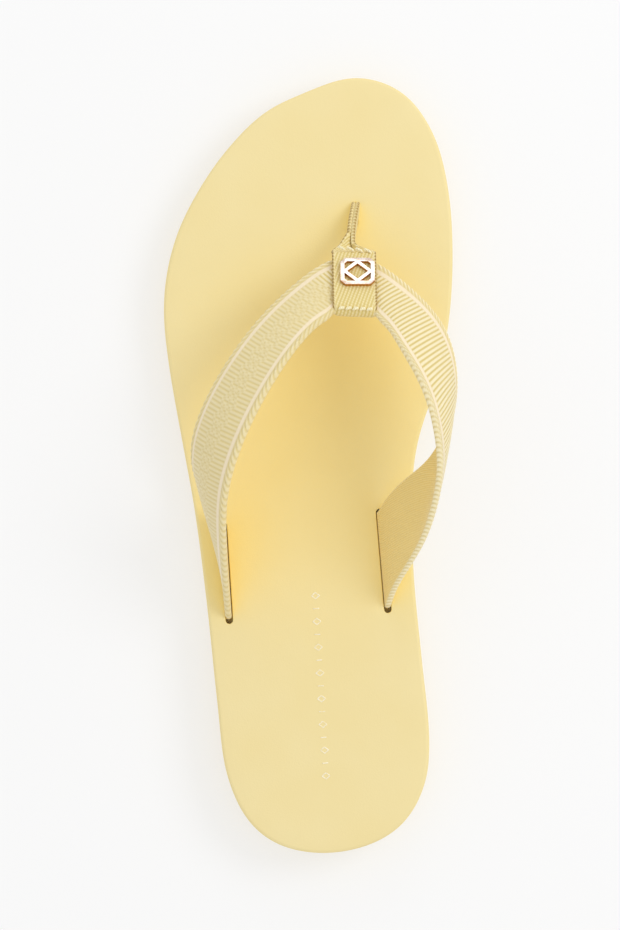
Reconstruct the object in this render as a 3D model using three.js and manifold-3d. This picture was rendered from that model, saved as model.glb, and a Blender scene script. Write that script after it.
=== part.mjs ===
// Left flip flop: a three-layer foam sole, a jacquard webbing strap and a toe tape.
// Millimetres, +Z up, +Y towards the toes, +X towards the big-toe side.
// The origin is on the underside, at mid-length and mid-width.
import * as THREE from "three";
import { mergeVertices } from "three/addons/utils/BufferGeometryUtils.js";
import Module from "manifold-3d";

// ---------------------------------------------------------------- driving dimensions
const OUTSOLE_THICKNESS = 3.5;
const FOOTBED_THICKNESS = 5;
const FOREFOOT_HEIGHT = 13.5; // top of the footbed under the toes
const HEEL_HEIGHT = 17.5; // top of the footbed under the heel
const SLOPE_START = 30; // y where the footbed starts to rise towards the heel
const SLOPE_END = -70; // y where it has reached the heel height
const GLUE_GAP = 0.1;
const BALL_LINE = 52; // y of the line at the ball of the foot where the sole bends
const KERF = 0.3; // gap between the heel and forefoot halves of each layer

const TREAD_DEPTH = 1;
const TREAD_WIDTH = 2;
const TREAD_PITCH = 8;
const TREAD_MARGIN = 9; // from the sole's edge to the end of a groove
const TREAD_END = 112; // furthest groove from the origin, both ways

const WEBBING_THICKNESS = 1.8;
const SLOT_WIDTH = 3.2;
const SLOT_REST = 0.4; // the webbing rests this far off the slot's centre line, on its outer side
const IN_SLOT_DEPTH = 3; // how far the moving webbing reaches down inside a slot
const TAB_LENGTH = 16; // glued end of the webbing between footbed and midsole
const TOE_TAB_LENGTH = 16; // glued end of the toe tape, the same way

const TAPE_THICKNESS = 1.2;
const TAPE_WIDTH = 14.4;
const TAPE_CLEARANCE = 0.35; // between the webbing and the tape folded round it
const REAR_FOLD_ROOM = 1.35; // the same gap at the rear fold, where the webbing bends away
const WASHER_ROOM = 0.7; // the same gap on the outer side, where the ornament's washer lies
const TONGUE_DEPTH = 2; // how far the folded tape reaches into the toe slot
const FOLD_HALF = 0.7; // half the flat bottom of the tape's lengthwise fold, to its mid-thickness
const FOLD_SHUT = 0.38; // share of the post's length over which the tape folds shut

const ORNAMENT_WIDTH = 11.2;
const ORNAMENT_LENGTH = 10.4;
const ORNAMENT_THICKNESS = 1.3;
const FRAME_BAR = 1.3; // width of the ornament's open frame
const LOZENGE_BAR = 1.5; // from the inner lozenge's outer corners to those of its opening
const ORNAMENT_PLACE = { x: 0.8, y: 1.8 }; // from the middle of the patch
const PRONG_RADIUS = 0.5;
const PRONG_PLACES = [-4.1, 4.1]; // y of the two prongs, from the ornament's middle
const WASHER_THICKNESS = 0.35;
const WASHER_WIDTH = 5;
const WASHER_LENGTH = 10.8;

// Slots in the footbed. A side slot has its centre, length and turn from the Y axis.
const LATERAL_SLOT = { x: -26.5, y: -35.5, length: 34.2, turn: 3.7, side: -1 };
const MEDIAL_SLOT = { x: 24.4, y: -31.5, length: 35.1, turn: 4.8, side: 1 };
const SLOT_FRONT_ROOM = 1.1; // slot length left free ahead of the webbing
const SLOT_REAR_ROOM = 2.2; // and behind it, for the strap to swing
const TOE_SLOT = { x: 15.6, front: 88.6, rear: 77, width: 3.6 };
const TONGUE_FRONT = 86.5; // y of the tape's two edges where they enter the toe slot

const PRINT_START = { x: 6, y: -103.3 };
const PRINT_END = { x: 2.2, y: -41.6 };
const PRINT_MARKS = 13;
const PRINT_MARK_SIZE = 2.6;
const PRINT_LINE_WIDTH = 0.5;
const PRINT_THICKNESS = 0.2;

// ---------------------------------------------------------------- solids
const wasm = await Module();
wasm.setup();

const vector = (x, y, z) => new THREE.Vector3(x, y, z);
const radians = THREE.MathUtils.degToRad;

function toSolid(geometry) {
  const bare = new THREE.BufferGeometry();
  const source = geometry.index ? geometry.toNonIndexed() : geometry;
  bare.setAttribute("position", source.getAttribute("position"));
  const merged = mergeVertices(bare, 1e-4);
  return new wasm.Manifold(
    new wasm.Mesh({
      numProp: 3,
      vertProperties: merged.attributes.position.array,
      triVerts: new Uint32Array(merged.index.array),
    }),
  );
}

function toGeometry(solid) {
  const mesh = solid.getMesh();
  const geometry = new THREE.BufferGeometry();
  geometry.setAttribute("position", new THREE.BufferAttribute(mesh.vertProperties, 3));
  geometry.setIndex(new THREE.BufferAttribute(mesh.triVerts, 1));
  geometry.computeVertexNormals();
  return geometry;
}

// A closed skin through rings of points, each ring the same length, capped at both ends.
function loft(rings) {
  const around = rings[0].length;
  const positions = rings.flat().flatMap((p) => [p.x, p.y, p.z]);
  const index = [];
  for (let i = 0; i < rings.length - 1; i++) {
    for (let j = 0; j < around; j++) {
      const a = i * around + j;
      const b = i * around + ((j + 1) % around);
      index.push(a, b, b + around, a, b + around, a + around);
    }
  }
  const last = (rings.length - 1) * around;
  for (let j = 1; j < around - 1; j++) {
    index.push(0, j + 1, j, last, last + j, last + j + 1);
  }
  const geometry = new THREE.BufferGeometry();
  geometry.setAttribute("position", new THREE.Float32BufferAttribute(positions, 3));
  geometry.setIndex(index);
  const solid = toSolid(geometry);
  if (solid.volume() > 0) return solid;
  for (let i = 0; i < index.length; i += 3) {
    [index[i + 1], index[i + 2]] = [index[i + 2], index[i + 1]];
  }
  geometry.setIndex(index);
  return toSolid(geometry);
}

// A flat shape in X and Y, raised from z = low to z = high.
function prism(shape, low, high) {
  const geometry = new THREE.ExtrudeGeometry(shape, {
    depth: high - low,
    bevelEnabled: false,
    curveSegments: 8,
  });
  return toSolid(geometry.translate(0, 0, low));
}

const SLAB_WIDTH = 160; // wider than the sole
const SLAB_END = 130; // further from the origin than either end of the sole
const CUTTER_HEIGHT = 60; // taller than the sole is thick

// Turns a shape extruded along Z into one drawn as (y, z) and run along X.
const acrossFoot = new THREE.Matrix4().makeBasis(
  vector(0, 1, 0),
  vector(0, 0, 1),
  vector(1, 0, 0),
);

// A shape drawn as (y, z), run across the full width in X.
function crossSlab(points) {
  const geometry = new THREE.ExtrudeGeometry(new THREE.Shape(points), {
    depth: SLAB_WIDTH,
    bevelEnabled: false,
  });
  return toSolid(geometry.applyMatrix4(acrossFoot).translate(-SLAB_WIDTH / 2, 0, 0));
}

// A slot-ended bar in plan: a rectangle with half-round ends, its length along Y before the turn.
function stadium(length, width) {
  const r = width / 2;
  const straight = length / 2 - r;
  const shape = new THREE.Shape();
  shape.moveTo(r, -straight);
  shape.lineTo(r, straight);
  shape.absarc(0, straight, r, 0, Math.PI, false);
  shape.lineTo(-r, -straight);
  shape.absarc(0, -straight, r, Math.PI, 2 * Math.PI, false);
  return shape;
}

// ---------------------------------------------------------------- sole
// The outline, anticlockwise from the toe tip: lateral side, heel, medial side.
const OUTLINE = [
  [15.5, 127.5], [-2, 122], [-14.5, 115.8], [-27.5, 102.7], [-36.5, 89.5], [-42.9, 76.5],
  [-46.5, 63], [-47.5, 50], [-45.8, 33], [-41.6, 9], [-37.4, -14], [-33.2, -46], [-29.8, -78],
  [-26.6, -102], [-19.6, -117], [-10, -124.6], [5.5, -127.5], [22, -124], [32.3, -116.6],
  [38.7, -103.6], [39.8, -90], [37.2, -63], [34.6, -35], [34.2, -6], [36.3, 9], [41.2, 24],
  [45.8, 44], [47.5, 67], [46, 91], [40.9, 109.5], [30.8, 122.7],
];
const OUTLINE_SEGMENTS = 88;
const ROUND_EDGE = 0.8; // the rubber and the midsole stand this far inside the footbed's edge

const outlineCurve = new THREE.CatmullRomCurve3(
  OUTLINE.map(([x, y]) => vector(x, y, 0)),
  true,
  "centripetal",
);

function solePrism(inset) {
  const points = outlineCurve.getSpacedPoints(OUTLINE_SEGMENTS).slice(0, -1);
  const count = points.length;
  const moved = points.map((p, i) => {
    const before = points[(i + count - 1) % count];
    const after = points[(i + 1) % count];
    const along = after.clone().sub(before).normalize();
    return new THREE.Vector2(p.x - along.y * inset, p.y + along.x * inset);
  });
  return prism(new THREE.Shape(moved), -1, CUTTER_HEIGHT);
}

function footbedTop(y) {
  const t = THREE.MathUtils.clamp((SLOPE_START - y) / (SLOPE_START - SLOPE_END), 0, 1);
  return FOREFOOT_HEIGHT + (HEEL_HEIGHT - FOREFOOT_HEIGHT) * t * t * (3 - 2 * t);
}

const SLOPE_STEP = 10; // length of the flats that the slope is made of

// A layer between two heights that follow the footbed's slope, or stay flat.
function layerSlab(lowAt, highAt) {
  const stations = [-SLAB_END];
  for (let y = SLOPE_END; y <= SLOPE_START; y += SLOPE_STEP) stations.push(y);
  stations.push(SLAB_END);
  const lower = stations.map((y) => new THREE.Vector2(y, lowAt(y)));
  const upper = stations.map((y) => new THREE.Vector2(y, highAt(y))).reverse();
  return crossSlab([...lower, ...upper]);
}

const midsoleTop = (y) => footbedTop(y) - FOOTBED_THICKNESS - GLUE_GAP;

// Everything between two places along the foot, from below the ground to above the sole.
function lengthOfSole(from, to) {
  return crossSlab([
    new THREE.Vector2(from, -1),
    new THREE.Vector2(to, -1),
    new THREE.Vector2(to, CUTTER_HEIGHT),
    new THREE.Vector2(from, CUTTER_HEIGHT),
  ]);
}

// The two sides of the ball line, each half a kerf away from it.
const heelSide = lengthOfSole(-SLAB_END, BALL_LINE - KERF / 2);
const toeSide = lengthOfSole(BALL_LINE + KERF / 2, SLAB_END);

function slotCutter(slot) {
  const geometry = new THREE.ExtrudeGeometry(stadium(slot.length, SLOT_WIDTH), {
    depth: CUTTER_HEIGHT,
    bevelEnabled: false,
    curveSegments: 6,
  });
  return toSolid(geometry.rotateZ(radians(slot.turn)).translate(slot.x, slot.y, 0));
}

function toeSlotCutter() {
  const length = TOE_SLOT.front - TOE_SLOT.rear;
  const geometry = new THREE.ExtrudeGeometry(stadium(length, TOE_SLOT.width), {
    depth: CUTTER_HEIGHT,
    bevelEnabled: false,
    curveSegments: 6,
  });
  return toSolid(geometry.translate(TOE_SLOT.x, TOE_SLOT.rear + length / 2, 0));
}

const footbed = solePrism(0)
  .intersect(layerSlab((y) => footbedTop(y) - FOOTBED_THICKNESS, footbedTop))
  .subtract(slotCutter(LATERAL_SLOT))
  .subtract(slotCutter(MEDIAL_SLOT))
  .subtract(toeSlotCutter());

const midsoleWhole = solePrism(ROUND_EDGE).intersect(
  layerSlab(() => OUTSOLE_THICKNESS + GLUE_GAP, midsoleTop),
);

// Cross-grooves in the rubber, kept inside the edge so that the ground face stays one piece.
function treadGrooves() {
  const bars = [];
  for (let y = -TREAD_END; y <= TREAD_END; y += TREAD_PITCH) {
    const atBallLine = Math.abs(y - BALL_LINE) < TREAD_PITCH / 2;
    const underArch = Math.abs(y) < 2 * TREAD_PITCH;
    if (atBallLine || underArch) continue;
    const bar = new THREE.BoxGeometry(SLAB_WIDTH, TREAD_WIDTH, 2 * TREAD_DEPTH);
    bars.push(toSolid(bar.translate(0, y, 0)));
  }
  return bars.map((bar) => bar.intersect(solePrism(TREAD_MARGIN)));
}

const outsole = treadGrooves().reduce(
  (solid, groove) => solid.subtract(groove),
  solePrism(ROUND_EDGE).intersect(layerSlab(() => 0, () => OUTSOLE_THICKNESS)),
);

// ---------------------------------------------------------------- glued ends of the straps
// A flat tab lies in a recess in the midsole, under the footbed.
function tabShape(slot) {
  const half = (slot.length - SLOT_FRONT_ROOM - SLOT_REAR_ROOM) / 2;
  const outer = slot.side * (SLOT_WIDTH / 2);
  const inner = -slot.side * (TAB_LENGTH - SLOT_WIDTH / 2);
  return new THREE.Shape([
    new THREE.Vector2(Math.min(outer, inner), -half),
    new THREE.Vector2(Math.max(outer, inner), -half),
    new THREE.Vector2(Math.max(outer, inner), half),
    new THREE.Vector2(Math.min(outer, inner), half),
  ]);
}

function tabSolid(slot, grow) {
  const geometry = new THREE.ExtrudeGeometry(tabShape(slot), {
    depth: CUTTER_HEIGHT,
    bevelEnabled: false,
  });
  const size = 1 + (2 * grow) / TAB_LENGTH;
  geometry.rotateZ(radians(slot.turn)).scale(size, 1 + grow / TAB_LENGTH, 1);
  const plan = toSolid(geometry.translate(slot.x, slot.y, 0));
  const low = (y) => midsoleTop(y) - WEBBING_THICKNESS - grow;
  const high = (y) => midsoleTop(y) + (grow ? 1 : 0);
  return plan.intersect(layerSlab(low, high));
}

function toeTabSolid(grow) {
  const middle = (TOE_SLOT.front + TOE_SLOT.rear) / 2;
  const half = TAPE_WIDTH / 2 + grow;
  const right = TOE_SLOT.x + TOE_SLOT.width / 2 + grow;
  const left = TOE_SLOT.x + TOE_SLOT.width / 2 - TOE_TAB_LENGTH - grow;
  const plan = new THREE.Shape([
    new THREE.Vector2(left, middle - half),
    new THREE.Vector2(right, middle - half),
    new THREE.Vector2(right, middle + half),
    new THREE.Vector2(left, middle + half),
  ]);
  const top = midsoleTop(middle);
  return prism(plan, top - 2 * TAPE_THICKNESS - grow, top + (grow ? 1 : 0));
}

const RECESS_ROOM = 0.3;
const midsole = midsoleWhole
  .subtract(tabSolid(LATERAL_SLOT, RECESS_ROOM))
  .subtract(tabSolid(MEDIAL_SLOT, RECESS_ROOM))
  .subtract(toeTabSolid(RECESS_ROOM));

// ---------------------------------------------------------------- webbing strap
// Where the webbing's edge enters a slot: its front corner (+1) or its rear corner (-1).
function slotCorner(slot, end) {
  const reach = slot.length / 2 - (end > 0 ? SLOT_FRONT_ROOM : SLOT_REAR_ROOM);
  const local = vector(slot.side * SLOT_REST, end * reach, 0);
  local.applyAxisAngle(vector(0, 0, 1), radians(slot.turn));
  const y = slot.y + local.y;
  return vector(slot.x + local.x, y, footbedTop(y));
}

// Ends of the row of points in the middle of the webbing, under the toe tape.
const PATCH_FRONT = vector(15.3, 69.2, 29.5);
const PATCH_REAR = vector(15.3, 49.5, 42.6);

// Edge curves from each slot to the middle of the strap.
const edgePoints = (rows) => rows.map(([x, y, z]) => vector(x, y, z));
const LATERAL_FRONT = edgePoints([
  [-30.6, -13, 23], [-36, -4.5, 30.5], [-38, 5, 35.5], [-36.2, 14.4, 39], [-32.4, 23.2, 40],
  [-26.3, 34, 40], [-17.6, 46.1, 38], [-9.2, 55, 35.5], [-1.3, 61.7, 32.7], [7.4, 67.8, 30.4],
]);
const LATERAL_REAR = edgePoints([
  [-26.4, -43, 26.5], [-26.8, -33, 36.5], [-27, -22, 45], [-27, -12.5, 51], [-25, -3, 55],
  [-20.5, 9.5, 57], [-14, 22.5, 56.5], [-5.5, 36, 53.5], [2, 44.4, 48.3], [7.4, 49.1, 43],
]);
const MEDIAL_FRONT = edgePoints([
  [26.4, -10, 20.5], [30.5, -5.5, 26], [36, -1.5, 30.5], [41, 2.8, 34], [44.6, 10, 37],
  [46.9, 19, 38.5], [47.8, 28.5, 39.5], [46.3, 38.9, 39], [43.4, 46.4, 37.5], [36.8, 54, 35.5],
  [29.6, 60.6, 33.2], [22.8, 65.6, 31.8],
]);
const MEDIAL_REAR = edgePoints([
  [27.6, -41, 25], [31, -35.5, 31.5], [35.2, -29, 38.5], [39.2, -19, 46.5], [41.8, -8.5, 53],
  [42.8, 0.5, 57.5], [41.7, 9.5, 60], [39.7, 19.3, 60.5], [35.7, 29.2, 59], [30.3, 37.4, 54.5],
  [26.8, 43.4, 49], [22.8, 49.1, 42.8],
]);

const STATIONS = 26; // per half of the strap
const ACROSS = 4; // facets across the webbing
const LATERAL_BELLY = 3; // how far each half bulges outwards between its edges
const MEDIAL_BELLY = 1;

function halfEdge(start, points, end) {
  return new THREE.CatmullRomCurve3([start, ...points, end], false, "centripetal");
}

// Rows of points across the webbing, from a slot to the strap's middle.
function halfRows(slot, frontPoints, rearPoints, belly) {
  const front = halfEdge(slotCorner(slot, 1), frontPoints, PATCH_FRONT);
  const rear = halfEdge(slotCorner(slot, -1), rearPoints, PATCH_REAR);
  front.arcLengthDivisions = 400;
  rear.arcLengthDivisions = 400;
  const rows = [];
  for (let i = 0; i <= STATIONS; i++) {
    const u = i / STATIONS;
    const a = front.getPointAt(u);
    const b = rear.getPointAt(u);
    const bulge = belly * Math.sin(Math.PI * u) ** 2 * (1 - u);
    const outward = vector(slot.side, 0, 0.3).normalize();
    const row = [];
    for (let j = 0; j <= ACROSS; j++) {
      const t = j / ACROSS;
      row.push(a.clone().lerp(b, t).addScaledVector(outward, bulge * 4 * t * (1 - t)));
    }
    rows.push(row);
  }
  const inside = rows[0].map((p) => p.clone().setZ(p.z - IN_SLOT_DEPTH));
  return [inside, ...rows];
}

const lateralRows = halfRows(LATERAL_SLOT, LATERAL_FRONT, LATERAL_REAR, LATERAL_BELLY);
const medialRows = halfRows(MEDIAL_SLOT, MEDIAL_FRONT, MEDIAL_REAR, MEDIAL_BELLY);
const webbingRows = [...lateralRows, ...medialRows.slice(0, -1).reverse()];

// Unit normals of a grid of points, pointing out of the arch.
function gridNormals(rows) {
  return rows.map((row, i) =>
    row.map((_, j) => {
      const along = rows[Math.min(i + 1, rows.length - 1)][j]
        .clone()
        .sub(rows[Math.max(i - 1, 0)][j]);
      const across = row[Math.min(j + 1, row.length - 1)].clone().sub(row[Math.max(j - 1, 0)]);
      return across.cross(along).normalize();
    }),
  );
}

function webbingSolid() {
  const normals = gridNormals(webbingRows);
  const rings = webbingRows.map((row, i) => {
    const outer = row.map((p, j) => p.clone().addScaledVector(normals[i][j], WEBBING_THICKNESS / 2));
    const inner = row.map((p, j) => p.clone().addScaledVector(normals[i][j], -WEBBING_THICKNESS / 2));
    return [...outer, ...inner.reverse()];
  });
  return loft(rings);
}

// ---------------------------------------------------------------- toe tape
// The patch's own frame: X across the foot, Y down the instep to the toes, Z out of the strap.
const downInstep = PATCH_FRONT.clone().sub(PATCH_REAR).normalize();
const outOfStrap = vector(1, 0, 0).cross(downInstep);
const patchHalf = PATCH_FRONT.distanceTo(PATCH_REAR) / 2;
const patchFrame = new THREE.Matrix4()
  .makeBasis(vector(1, 0, 0), downInstep, outOfStrap)
  .setPosition(PATCH_FRONT.clone().lerp(PATCH_REAR, 0.5));
const inPatch = (geometry) => toSolid(geometry.applyMatrix4(patchFrame));

const POST_STATIONS = 14; // cross-sections from the loop to the toe slot
const WEBBING_HALF = WEBBING_THICKNESS / 2;
const tapeTop = WEBBING_HALF + WASHER_ROOM + TAPE_THICKNESS;
const tapeBottom = -WEBBING_HALF - TAPE_CLEARANCE - TAPE_THICKNESS;
const loopFront = patchHalf + TAPE_CLEARANCE + TAPE_THICKNESS;
const loopRear = -patchHalf - REAR_FOLD_ROOM - TAPE_THICKNESS;

// A rounded rectangle in the (y, z) plane, as a shape or as a hole.
function roundedOutline(outline, rear, front, low, high, radius) {
  outline.moveTo(rear + radius, low);
  outline.lineTo(front - radius, low);
  outline.absarc(front - radius, low + radius, radius, -Math.PI / 2, 0, false);
  outline.lineTo(front, high - radius);
  outline.absarc(front - radius, high - radius, radius, 0, Math.PI / 2, false);
  outline.lineTo(rear + radius, high);
  outline.absarc(rear + radius, high - radius, radius, Math.PI / 2, Math.PI, false);
  outline.lineTo(rear, low + radius);
  outline.absarc(rear + radius, low + radius, radius, Math.PI, 1.5 * Math.PI, false);
  return outline;
}

// The tape's closed loop round the webbing.
function tapeLoop() {
  const shape = roundedOutline(new THREE.Shape(), loopRear, loopFront, tapeBottom, tapeTop, 2);
  shape.holes.push(
    roundedOutline(
      new THREE.Path(),
      loopRear + TAPE_THICKNESS,
      loopFront - TAPE_THICKNESS,
      tapeBottom + TAPE_THICKNESS,
      tapeTop - TAPE_THICKNESS,
      0.9,
    ),
  );
  const geometry = new THREE.ExtrudeGeometry(shape, {
    depth: TAPE_WIDTH,
    bevelEnabled: false,
    curveSegments: 4,
  });
  return inPatch(geometry.applyMatrix4(acrossFoot).translate(-TAPE_WIDTH / 2, 0, 0));
}

// The tape from the loop's front fold to the toe slot. Its two edges run straight down to the
// slot, while its middle sinks back between them until the two halves lie face to face.
function tapePost() {
  const start = vector(0, patchHalf + TAPE_CLEARANCE + 0.8 * TAPE_THICKNESS, 0);
  start.applyMatrix4(patchFrame);
  const mouth = vector(TOE_SLOT.x, TONGUE_FRONT, FOREFOOT_HEIGHT);
  const path = new THREE.CubicBezierCurve3(
    start,
    start.clone().add(vector(0, 4.6, -5.2)),
    mouth.clone().add(vector(0, -1.2, 5)),
    mouth,
  );
  const rings = [];
  for (let i = 0; i <= POST_STATIONS; i++) {
    const t = i / POST_STATIONS;
    const shut = Math.min(t / FOLD_SHUT, 1);
    const fold = (Math.PI / 2) * shut * shut * (3 - 2 * shut);
    rings.push(foldedSection(path.getPoint(t), path.getTangent(t), fold));
  }
  const low = rings[POST_STATIONS].map((p) => p.clone().setZ(mouth.z));
  rings[POST_STATIONS] = low;
  rings.push(low.map((p) => p.clone().setZ(mouth.z - TONGUE_DEPTH)));
  return loft(rings);
}

// A cross-section of the tape whose halves are folded forward by an angle, its edges level with
// a point: the outer face from one edge to the other, then the inner face back.
function foldedSection(edges, tangent, fold) {
  const across = vector(1, 0, 0);
  const forward = across.clone().cross(tangent).normalize();
  const reach = TAPE_WIDTH / 2 - FOLD_HALF;
  const centre = edges.clone().addScaledVector(forward, -reach * Math.sin(fold));
  const face = (offset) => {
    const corner = [FOLD_HALF + offset * Math.tan(fold / 2), -offset];
    const edge = [
      FOLD_HALF + reach * Math.cos(fold) + offset * Math.sin(fold),
      reach * Math.sin(fold) - offset * Math.cos(fold),
    ];
    const half = [edge, corner];
    return [...half.map(([x, d]) => [-x, d]), ...half.reverse()];
  };
  const outer = face(TAPE_THICKNESS / 2);
  const inner = face(-TAPE_THICKNESS / 2).reverse();
  return [...outer, ...inner].map(([x, d]) =>
    centre.clone().addScaledVector(across, x).addScaledVector(forward, d),
  );
}

// Round holes for the ornament's prongs, through whatever lies under it.
function prongSolids(radius, low, high) {
  return PRONG_PLACES.map((place) => {
    const geometry = new THREE.CylinderGeometry(radius, radius, high - low, 10);
    geometry.rotateX(Math.PI / 2);
    geometry.translate(ORNAMENT_PLACE.x, ORNAMENT_PLACE.y + place, (high + low) / 2);
    return inPatch(geometry);
  });
}

const cutProngHoles = (solid) =>
  prongSolids(PRONG_RADIUS + 0.15, WEBBING_HALF + 0.1, tapeTop + 1).reduce(
    (rest, hole) => rest.subtract(hole),
    solid,
  );

const toeTape = cutProngHoles(tapeLoop().add(tapePost()));

// ---------------------------------------------------------------- ornament and stitching
const FRONT_STITCHES = 5;
const REAR_STITCHES = 6;
const STITCH_INSET = 2.1; // from a stitch row to the fold of the loop
const STITCH_MARGIN = 1.5; // from a row's ends to the tape's edges
const THREAD_RADIUS = 0.4;
const THREAD_WAIST = 0.22; // its radius where one stitch meets the next

// A closed four-sided outline with cut corners, centred on the origin.
function clippedRectangle(outline, width, length, clip) {
  const x = width / 2;
  const y = length / 2;
  const corners = [
    [x - clip, -y], [x, -y + clip], [x, y - clip], [x - clip, y],
    [-x + clip, y], [-x, y - clip], [-x, -y + clip], [-x + clip, -y],
  ];
  return outline.setFromPoints(corners.map(([a, b]) => new THREE.Vector2(a, b)));
}

// A lozenge with its corners at (width, 0) and (0, length).
function lozenge(outline, width, length) {
  const corners = [[width, 0], [0, length], [-width, 0], [0, -length]];
  return outline.setFromPoints(corners.map(([x, y]) => new THREE.Vector2(x, y)));
}

// An open metal frame round an open lozenge, with two prongs underneath.
function ornamentSolid() {
  const raise = { depth: ORNAMENT_THICKNESS, bevelEnabled: false };
  const frame = clippedRectangle(new THREE.Shape(), ORNAMENT_WIDTH, ORNAMENT_LENGTH, 1.6);
  const opening = [ORNAMENT_WIDTH - 2 * FRAME_BAR, ORNAMENT_LENGTH - 2 * FRAME_BAR, 0.9];
  frame.holes.push(clippedRectangle(new THREE.Path(), ...opening));
  const halfWidth = (ORNAMENT_WIDTH - FRAME_BAR) / 2;
  const halfLength = (ORNAMENT_LENGTH - FRAME_BAR) / 2;
  const middle = lozenge(new THREE.Shape(), halfWidth, halfLength);
  middle.holes.push(lozenge(new THREE.Path(), halfWidth - LOZENGE_BAR, halfLength - LOZENGE_BAR));
  const base = tapeTop + GLUE_GAP;
  const place = (geometry) => inPatch(geometry.translate(ORNAMENT_PLACE.x, ORNAMENT_PLACE.y, base));
  const plate = place(new THREE.ExtrudeGeometry(frame, raise)).add(
    place(new THREE.ExtrudeGeometry(middle, raise)),
  );
  return prongSolids(PRONG_RADIUS, WEBBING_HALF + 0.2, base + 0.5).reduce(
    (solid, prong) => solid.add(prong),
    plate,
  );
}

// The backing plate between tape and webbing that the prongs are closed over.
function washerSolid() {
  const shape = clippedRectangle(new THREE.Shape(), WASHER_WIDTH, WASHER_LENGTH, 1);
  const geometry = new THREE.ExtrudeGeometry(shape, {
    depth: WASHER_THICKNESS,
    bevelEnabled: false,
  });
  const low = WEBBING_HALF + 0.15;
  return cutProngHoles(inPatch(geometry.translate(ORNAMENT_PLACE.x, ORNAMENT_PLACE.y, low)));
}

// A row of sewn thread across the tape: one strand that swells at every stitch.
function stitchRow(y, stitches) {
  const span = TAPE_WIDTH - 2 * STITCH_MARGIN;
  const pitch = span / stitches;
  const profile = [new THREE.Vector2(0, 0)];
  for (let i = 0; i < stitches; i++) {
    profile.push(new THREE.Vector2(THREAD_WAIST, (i + 0.02) * pitch));
    profile.push(new THREE.Vector2(THREAD_RADIUS, (i + 0.3) * pitch));
    profile.push(new THREE.Vector2(THREAD_RADIUS, (i + 0.7) * pitch));
    profile.push(new THREE.Vector2(THREAD_WAIST, (i + 0.98) * pitch));
  }
  profile.push(new THREE.Vector2(0, span));
  const geometry = new THREE.LatheGeometry(profile, 8);
  geometry.rotateZ(-Math.PI / 2).translate(-span / 2, y, tapeTop + THREAD_RADIUS + GLUE_GAP);
  return inPatch(geometry);
}

// ---------------------------------------------------------------- foil print on the footbed
// A fine rule strung with small lozenges, following the slope of the footbed.
function printSolid() {
  const run = vector(PRINT_END.x - PRINT_START.x, PRINT_END.y - PRINT_START.y, 0);
  const pitch = run.length() / PRINT_MARKS;
  const line = PRINT_LINE_WIDTH / 2;
  const mark = PRINT_MARK_SIZE / 2;
  const side = [];
  for (let i = 0; i < PRINT_MARKS; i++) {
    const middle = (i + 0.5) * pitch;
    side.push([line, middle - mark + line], [mark, middle], [line, middle + mark - line]);
  }
  const right = [[line, 0], ...side, [line, run.length()]];
  const left = right.map(([x, y]) => [-x, y]).reverse();
  const shape = new THREE.Shape([...right, ...left].map(([x, y]) => new THREE.Vector2(x, y)));
  const geometry = new THREE.ExtrudeGeometry(shape, {
    depth: CUTTER_HEIGHT,
    bevelEnabled: false,
  });
  geometry.rotateZ(Math.atan2(-run.x, run.y)).translate(PRINT_START.x, PRINT_START.y, 0);
  return toSolid(geometry).intersect(
    layerSlab((y) => footbedTop(y) + GLUE_GAP, (y) => footbedTop(y) + GLUE_GAP + PRINT_THICKNESS),
  );
}

// ---------------------------------------------------------------- the assembled object
const foam = (color) => new THREE.MeshStandardMaterial({ color, roughness: 0.75, metalness: 0 });
const cloth = (color) => new THREE.MeshStandardMaterial({ color, roughness: 0.9, metalness: 0 });
const gold = new THREE.MeshStandardMaterial({ color: 0xe6cfb4, roughness: 0.2, metalness: 1 });

const FOOTBED_YELLOW = 0xefdca2;
const MIDSOLE_CREAM = 0xf1e3bd;
const RUBBER_YELLOW = 0xe3c77c;
const WEBBING_CREAM = 0xf3e6ad;
const TAPE_OLIVE = 0xdccb85;
const THREAD_PALE = 0xf4ebc4;

const flipFlop = new THREE.Group();

function addPiece(name, solid, material) {
  const mesh = new THREE.Mesh(toGeometry(solid), material);
  mesh.name = name;
  flipFlop.add(mesh);
}

addPiece("outsole_heel", outsole.intersect(heelSide), foam(RUBBER_YELLOW));
addPiece("outsole_forefoot", outsole.intersect(toeSide), foam(RUBBER_YELLOW));
addPiece("midsole_heel", midsole.intersect(heelSide), foam(MIDSOLE_CREAM));
addPiece("midsole_forefoot", midsole.intersect(toeSide), foam(MIDSOLE_CREAM));
addPiece("footbed_heel", footbed.intersect(heelSide), foam(FOOTBED_YELLOW));
addPiece("footbed_forefoot", footbed.intersect(toeSide), foam(FOOTBED_YELLOW));
addPiece("footbed_print", printSolid(), foam(THREAD_PALE));
addPiece("webbing_tab_lateral", tabSolid(LATERAL_SLOT, 0), cloth(WEBBING_CREAM));
addPiece("webbing_tab_medial", tabSolid(MEDIAL_SLOT, 0), cloth(WEBBING_CREAM));
addPiece("toe_tape_tab", toeTabSolid(0), cloth(TAPE_OLIVE));
addPiece("strap_webbing", webbingSolid(), cloth(WEBBING_CREAM));
addPiece("toe_tape", toeTape, cloth(TAPE_OLIVE));
addPiece("tape_stitching_front", stitchRow(loopFront - STITCH_INSET, FRONT_STITCHES), cloth(THREAD_PALE));
addPiece("tape_stitching_rear", stitchRow(loopRear + STITCH_INSET, REAR_STITCHES), cloth(THREAD_PALE));
addPiece("ornament", ornamentSolid(), gold);
addPiece("ornament_washer", washerSolid(), gold);

export default flipFlop;
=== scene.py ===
"""Left flip flop: a three-layer foam sole, a jacquard webbing strap, a toe tape and a gilt ornament.

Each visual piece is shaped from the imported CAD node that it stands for. Lengths are in metres.
"""

import math

import bmesh
import bpy
import numpy as np
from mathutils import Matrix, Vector, geometry, kdtree


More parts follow.
